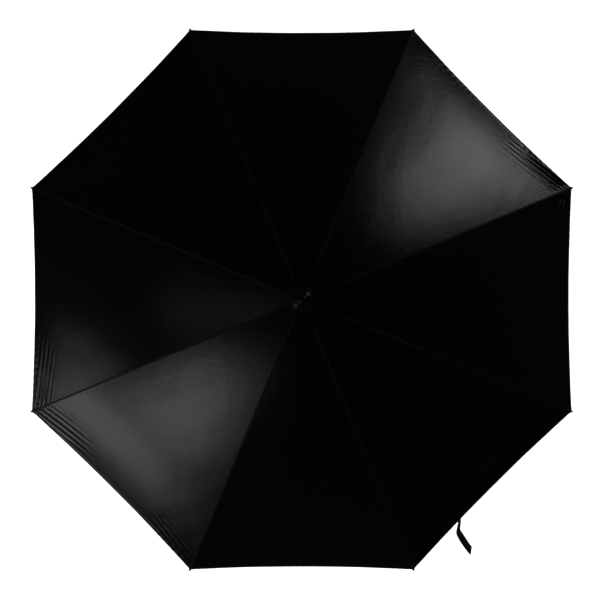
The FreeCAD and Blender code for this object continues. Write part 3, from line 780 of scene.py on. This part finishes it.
def floor_paper():
    """Matt white paper."""
    finish = Finish("pale_floor", (0.9, 0.9, 0.9), 0.9)
    finish.shader.inputs["Specular IOR Level"].default_value = 0.0
    finish.colours(finish.noise(6, 3), (0.89, 0.89, 0.89), (0.91, 0.91, 0.91))
    finish.bump((finish.noise(300, 3), 0.0001))
    return finish.material


MATERIALS = {
    "fabric": fabric("canopy_pongee", 0.42, 0.15, 0.24),
    "binding": fabric("seam_binding", 0.2, 0.5, 0.65),
    "webbing": webbing(),
    "hooks": hooks(),
    "thread": thread(),
    "shaft_paint": painted_steel("shaft_paint", 0.014, 0.28, 0.42),
    "rib_steel": painted_steel("rib_paint", 0.018, 0.3, 0.45),
    "fibreglass": fibreglass(),
    "black_plastic": moulded("black_nylon", 0.016, 0.4, 0.55, 0.00006),
    "joint_plastic": moulded("joint_nylon", 0.02, 0.35, 0.5, 0.00004),
    "cap_plastic": moulded("cap_plastic", 0.004, 0.2, 0.3, 0.00001, shine=0.12),
    "tip_plastic": moulded("tip_plastic", 0.012, 0.28, 0.4, 0.00002, coat=0.2),
    "spring_steel": spring_steel(),
    "foam": foam(),
    "floor": floor_paper(),
}


def dress_cad_nodes():
    """Gives every CAD node that stays the material of its slot."""
    for subpart in frame["record"]["subparts"]:
        if subpart["material_slot"] not in MATERIALS:
            continue
        node = frame["nodes"][subpart["node"]]
        if not node.material_slots:
            node.data.materials.append(None)
        for slot in node.material_slots:
            slot.material = MATERIALS[subpart["material_slot"]]


# ------------------------------------------------------------------------------- the canopy's pieces


def flat_wing(start_run, end_run):
    """Width, length and area of a wing's cut: a strip that widens from its start to its end."""
    start = rib_line(start_run)[0] * math.sin(HALF)
    end = rib_line(end_run)[0] * math.sin(HALF)
    length = end_run - start_run
    return (float(end), float(length)), float((start + end) / 2 * length)


def make_wing(arm, side):
    """The cloth on one side of an arm, in an inner and an outer piece, with the hem's thread."""
    gore = gore_beside(arm, side)
    hand = "left" if side > 0 else "right"
    inner = make_inner_wing(side, gore, "canopy_%d_%s_inner" % (arm, hand))
    outer = make_outer_wing(side, gore, "canopy_%d_%s_outer" % (arm, hand))
    hem_thread = make_hem_thread(side, gore, "hem_thread_%d_%s" % (arm, hand))
    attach(inner, "rib_%d" % arm)
    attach(outer, "rib_end_%d" % arm)
    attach(hem_thread, "rib_end_%d" % arm)
    fold_away(inner, arm, "inner")
    fold_away(outer, arm, "outer")
    fold_away(hem_thread, arm, "outer")
    for piece in (inner, outer):
        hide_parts("gore_%d" % gore)
    flat, area = flat_wing(0, TO_FLEX + FLEX_LAP)
    flat, area = flat_wing(TO_FLEX, TO_TIP - CORNER_BACK + HEM_WIDTH)


def make_seams(arm):
    """The seam over an arm and the tape under it, in an inner and an outer piece each."""
    for part, body, start, end in (
        ("inner", "rib_%d" % arm, SEAM_START, TO_FLEX),
        ("outer", "rib_end_%d" % arm, TO_FLEX, TO_TIP - CORNER_BACK + SEAM_PAST_CORNER),
    ):
        for maker, kind in ((make_seam, "seam"), (make_tape, "seam_tape")):
            piece = maker(arm, start, end, "%s_%d_%s" % (kind, arm, part))
            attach(piece, body)


# ------------------------------------------------------------------------------------ closing strap

STRAP_WIDTH = 0.020
STRAP_THICK = 0.0012
STRAP_LENGTH = 0.190
STRAP_ARM = 7
STRAP_SHARE = 0.3
STRAP_BEARING = math.radians(-65)
STRAP_SLOPES = (math.radians(35), math.radians(75))
STRAP_SWING = 0.017
STRAP_STATIONS = 66


def strap_middle(step):
    """Middle of the strap, from its sewn end (0) to its free end (1). It drops away from the hem in a
    curve that swings to one side and back."""
    share = 2 * STRAP_SHARE - 1
    start = cloth_point(np.array(hem_run(share) - 0.006), np.array(share), STRAP_ARM)
    start = start - np.array([0, 0, 0.0022])
    forward = np.array([math.cos(STRAP_BEARING), math.sin(STRAP_BEARING), 0])
    left = np.array([math.sin(STRAP_BEARING), -math.cos(STRAP_BEARING), 0])
    first, last = STRAP_SLOPES
    slope = first + (last - first) * step
    radius = STRAP_LENGTH / (last - first)
    ahead = radius * (math.sin(slope) - math.sin(first))
    drop = radius * (math.cos(first) - math.cos(slope))
    swing = STRAP_SWING * smooth(step / 0.25) * (1 - step)
    return start + forward * ahead + left * swing - np.array([0, 0, drop])


def strap_frames():
    """Middle, ahead, across and face directions at stations along the strap. It leaves the hem nearly on
    its edge, and turns a little flatter in the first third of its length."""
    steps = np.linspace(0, 1, STRAP_STATIONS)
    middles = np.array([strap_middle(step) for step in steps])
    ahead = np.gradient(middles, axis=0)
    ahead /= np.linalg.norm(ahead, axis=1, keepdims=True)
    frames = []
    for i, step in enumerate(steps):
        level = np.cross(ahead[i], [0, 0, 1])
        level /= np.linalg.norm(level)
        face = np.cross(level, ahead[i])
        twist = math.radians(64 - 24 * smooth((step - 0.06) / 0.3))
        across = level * math.cos(twist) + face * math.sin(twist)
        frames.append((middles[i], ahead[i], across, np.cross(across, ahead[i])))
    return frames


def strap_point(frame_there, share, height):
    """Point of the strap's section, from shares of its half width and its half thickness."""
    middle, _, across, face = frame_there
    return middle + across * share * STRAP_WIDTH / 2 + face * height * STRAP_THICK / 2


def strap_section():
    """Outline of the strap's section, as shares of its half width and half thickness: folded edges that
    are a little thicker than the middle, and a groove under each row of stitches."""
    shares = [-1.0, -0.97, -0.9, -0.8, -0.74, -0.68, -0.4, 0, 0.4, 0.68, 0.74, 0.8, 0.9, 0.97, 1.0]
    tall = [0.35, 0.85, 1.0, 0.95, 0.7, 0.9, 0.8, 0.78, 0.8, 0.9, 0.7, 0.95, 1.0, 0.85, 0.35]
    top = list(zip(shares, tall))
    return top + [(share, -height) for share, height in reversed(top)]


def make_strap_band(frames):
    """The folded band."""
    section = strap_section()
    rings, uv = [], []
    for i, station in enumerate(frames):
        run = STRAP_LENGTH * i / (STRAP_STATIONS - 1)
        rings.append([strap_point(station, share, height) for share, height in section])
        uv += [(share * STRAP_WIDTH / 2, run) for share, _ in section]
    return add_tube("closing_strap_band", rings, "webbing", uv)


def make_strap_patch(frames):
    """The fastening patch under the free end, a little thinner at its two ends."""
    rings = []
    for i, station in enumerate(frames):
        thick = 0.75 if i in (0, len(frames) - 1) else 1.0
        side, middle = -thick * 2.2, -thick * 2.5
        outline = [(-0.86, -0.9), (-0.82, side), (0, middle), (0.82, side), (0.86, -0.9)]
        rings.append([strap_point(station, share, height) for share, height in outline])
    return add_tube("strap_fastening", rings, "hooks")


def make_strap_thread(frames):
    """A row of stitches along each edge, and one across the patch."""
    places = []
    for edge in (-0.74, 0.74):
        for station in frames[2:-2]:
            places.append((strap_point(station, edge, 0.76), station[1], station[3]))
    station = frames[-4]
    for share in np.linspace(-0.6, 0.6, 5):
        places.append((strap_point(station, share, 0.8), station[2], station[3]))
    return add_thread("strap_thread", places)


def make_strap():
    """The closing strap: a folded band with stitched edges and a fastening patch under its free end."""
    frames = strap_frames()
    strap = make_strap_band(frames)
    patch = make_strap_patch(frames[-11:-1])
    sewing = make_strap_thread(frames)
    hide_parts("closing_strap")
    for piece in (strap, patch, sewing):
        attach(piece, "rib_end_%d" % STRAP_ARM)
        fold_away(piece, STRAP_ARM, "outer")


# --------------------------------------------------------------- corner ties, rosette and the grip


TIE_TURNS = 4
TIE_RADIUS = 0.00315
TIE_WIRE = 0.0003
TIE_PITCH = 0.00062


def make_corner_tie(arm):
    """Thread wound round a rib's tip, which holds the corner of the cloth to it."""
    level, sideways = arm_axes(arm)
    slope = rib_line(TO_TIP)[2]
    down = level * math.cos(slope) - np.array([0, 0, math.sin(slope)])
    face = level * math.sin(slope) + np.array([0, 0, math.cos(slope)])
    middle = arm_point(arm, TO_TIP - CORNER_BACK) - face * CLOTH_LIFT - down * 0.001
    sides, per_turn = 6, 20
    rings = []
    for i in range(TIE_TURNS * per_turn + 1):
        angle = 2 * math.pi * i / per_turn
        spoke = sideways * math.cos(angle) + face * math.sin(angle)
        over_cloth = max(0.0, math.sin(angle)) * 0.0006
        advance = TIE_PITCH * (i / per_turn - TIE_TURNS / 2)
        centre = middle + spoke * (TIE_RADIUS + over_cloth) + down * advance
        ring = []
        for corner in range(sides):
            turn = 2 * math.pi * corner / sides
            ring.append(centre + (spoke * math.cos(turn) + down * math.sin(turn)) * TIE_WIRE)
        rings.append(ring)
    tie = add_tube("corner_tie_%d" % arm, rings, "thread")
    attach(tie, "rib_end_%d" % arm)


def turned_piece(name, profile, sides, material):
    """Piece turned about the shaft from (radius, height) points, closed into a solid ring."""
    points, count = [], len(profile)
    for corner in range(sides):
        angle = 2 * math.pi * corner / sides
        cosine, sine = math.cos(angle), math.sin(angle)
        points += [(radius * cosine, radius * sine, height) for radius, height in profile]
    faces = []
    for corner in range(sides):
        low, high = corner * count, (corner + 1) % sides * count
        for i in range(count):
            after = (i + 1) % count
            faces.append((low + i, high + i, high + after, low + after))
    return add_mesh(name, points, faces, np.array(points)[:, :2], material_names=[material])


def rounded(centre, radius, first, last, count=7):
    """Points of a round corner, from one angle to another in degrees."""
    points = []
    for i in range(count):
        angle = math.radians(first + (last - first) * i / (count - 1))
        points.append((centre[0] + radius * math.cos(angle), centre[1] + radius * math.sin(angle)))
    return points


def make_rosette():
    """Disc of canopy cloth under the cap, which covers the tops of the gores, and the stitches in it."""
    thick, lift = 0.0005, 0.0006
    cap_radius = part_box("top_cap")[1][0]
    out, up, _ = rib_line(np.linspace(0, 0.03, 13))
    radii = np.linspace(cap_radius - 0.003, cap_radius + 0.0055, 8)
    heights = np.interp(radii, out, up) + lift
    under = list(zip(radii, heights))
    over = list(zip(radii, heights + thick))
    rosette = turned_piece("canopy_rosette", under + over[::-1], 96, "binding")

    sewn_radius = cap_radius + 0.0035
    sewn_height = np.interp(sewn_radius, radii, heights) + thick
    count = int(2 * math.pi * sewn_radius / STITCH_PITCH)
    upward = np.array([0, 0, 1.0])
    places = []
    for i in range(count):
        angle = 2 * math.pi * i / count
        centre = np.array([math.cos(angle) * sewn_radius, math.sin(angle) * sewn_radius, sewn_height])
        places.append((centre, np.array([-math.sin(angle), math.cos(angle), 0]), upward))
    sewing = add_thread("rosette_thread", places)
    for piece in (rosette, sewing):
        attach(piece, "root")


def grip_groove(radius, middle):
    """Profile of a shallow groove round the grip."""
    half, deep = 0.0013, 0.0009
    return [
        (radius, middle - half),
        (radius - 0.0005, middle - 0.0008),
        (radius - deep, middle),
        (radius - 0.0005, middle + 0.0008),
        (radius, middle + half),
    ]


def make_grip():
    """Foam grip with rounded ends, three shallow grooves at each end and a soft taper to the shaft."""
    low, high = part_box("handle_grip")
    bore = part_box("shaft")[1][0] - 0.0001
    radius, top = high[0], high[2]
    shoulder = top - 0.015
    profile = [(bore, low[2])]
    profile += rounded((radius - 0.0025, low[2] + 0.0025), 0.0025, -90, 0)
    for base in (low[2] + 0.012, shoulder - 0.022):
        for groove in range(3):
            profile += grip_groove(radius, base + groove * 0.005)
    profile += rounded((radius - 0.004, shoulder - 0.001), 0.004, 0, 50)
    profile += rounded((bore + 0.0055, top - 0.0015), 0.0015, 40, 90, 4)
    profile.append((bore, top))
    grip = turned_piece("foam_grip", profile, 96, "foam")
    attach(grip, "root")
    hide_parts("handle_grip")


# ------------------------------------------------------------------------- floor, light and camera

CAMERA_RISE = 3.49
CAMERA_LENS = 92.3
CAMERA_ASIDE = (-0.004, -0.0007)
PANEL_DISTANCE = 3.2
WORLD_GLOW = 0.12


def add_floor():
    """Large pale floor that the end of the grip stands on. The cloth doesn't mirror it."""
    size = 40.0
    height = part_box("grip_end_cap")[0][2] - 0.0005
    corners = [(-size, -size, height), (size, -size, height), (size, size, height), (-size, size, height)]
    floor = add_mesh("floor", corners, [(0, 1, 2, 3)], material_names=["floor"])
    floor.visible_glossy = False
    return floor


def add_panel(name, azimuth, elevation, width, height, power):
    """Soft panel that faces the upper part of the canopy. Its angles are in degrees."""
    light = bpy.data.lights.new(name, "AREA")
    light.shape = "RECTANGLE"
    light.size = width
    light.size_y = height
    light.energy = power
    lamp = bpy.data.objects.new(name, light)
    bpy.context.scene.collection.objects.link(lamp)
    across, up = math.radians(azimuth), math.radians(elevation)
    target = Vector((0, 0, joint_place("fold")[1] - 0.15))
    away = Vector((math.cos(across) * math.cos(up), math.sin(across) * math.cos(up), math.sin(up)))
    lamp.location = target + away * PANEL_DISTANCE
    lamp.rotation_euler = away.to_track_quat("Z", "Y").to_euler()
    lamp.visible_camera = False


def add_floor_light(floor, name, energy, shadow):
    """Soft light from straight above that reaches only the floor, with or without the part's shadow."""
    light = bpy.data.lights.new(name, "SUN")
    light.energy = energy
    light.angle = math.radians(20)
    light.use_shadow = shadow
    lamp = bpy.data.objects.new(name, light)
    bpy.context.scene.collection.objects.link(lamp)
    lamp.location = (0, 0, 4)
    lit = bpy.data.collections.new("lit_by_" + name)
    lit.objects.link(floor)
    lamp.light_linking.receiver_collection = lit


def set_world():
    """White behind the floor, and a little even light in the shadows."""
    world = bpy.data.worlds.new("studio")
    bpy.context.scene.world = world
    world.use_nodes = True
    tree = world.node_tree
    path = tree.nodes.new("ShaderNodeLightPath")
    background = tree.nodes["Background"]
    background.inputs["Color"].default_value = (1, 1, 1, 1)
    soft = tree.nodes.new("ShaderNodeMath")
    soft.operation = "MULTIPLY"
    soft.inputs[1].default_value = WORLD_GLOW
    total = tree.nodes.new("ShaderNodeMath")
    total.operation = "ADD"
    tree.links.new(path.outputs["Is Diffuse Ray"], soft.inputs[0])
    tree.links.new(path.outputs["Is Camera Ray"], total.inputs[0])
    tree.links.new(soft.outputs[0], total.inputs[1])
    tree.links.new(total.outputs[0], background.inputs["Strength"])


def add_camera():
    """Looks straight down on the ferrule."""
    camera = bpy.data.cameras.new("camera")
    camera.lens = CAMERA_LENS
    camera.sensor_width = 36
    eye = bpy.data.objects.new("camera", camera)
    bpy.context.scene.collection.objects.link(eye)
    hem_height = rib_line(TO_TIP)[1]
    eye.location = (*CAMERA_ASIDE, float(hem_height) + CAMERA_RISE)
    bpy.context.scene.camera = eye


def light_scene(floor):
    """Soft panels that the canopy mirrors: one low on the right, two on the left, and a small weak one
    higher above the left."""
    add_panel("panel_right", 42, 11, 0.7, 2.6, 15)
    add_panel("panel_left_low", 209, -1, 2.4, 0.9, 12.5)
    add_panel("panel_left_high", 224, 29, 0.9, 1.8, 11)
    add_panel("panel_high", 186, 50, 0.25, 0.35, 0.7)
    add_floor_light(floor, "floor_light", 1.7, True)
    add_floor_light(floor, "floor_fill", 2.7, False)
    set_world()
    bpy.context.scene.view_settings.view_transform = "Standard"


# ------------------------------------------------------------------------------------ put together

dress_cad_nodes()
for arm_number in range(1, ARMS + 1):
    make_wing(arm_number, 1)
    make_wing(arm_number, -1)
    make_seams(arm_number)
    make_corner_tie(arm_number)
make_strap()
make_rosette()
make_grip()
light_scene(add_floor())
add_camera()
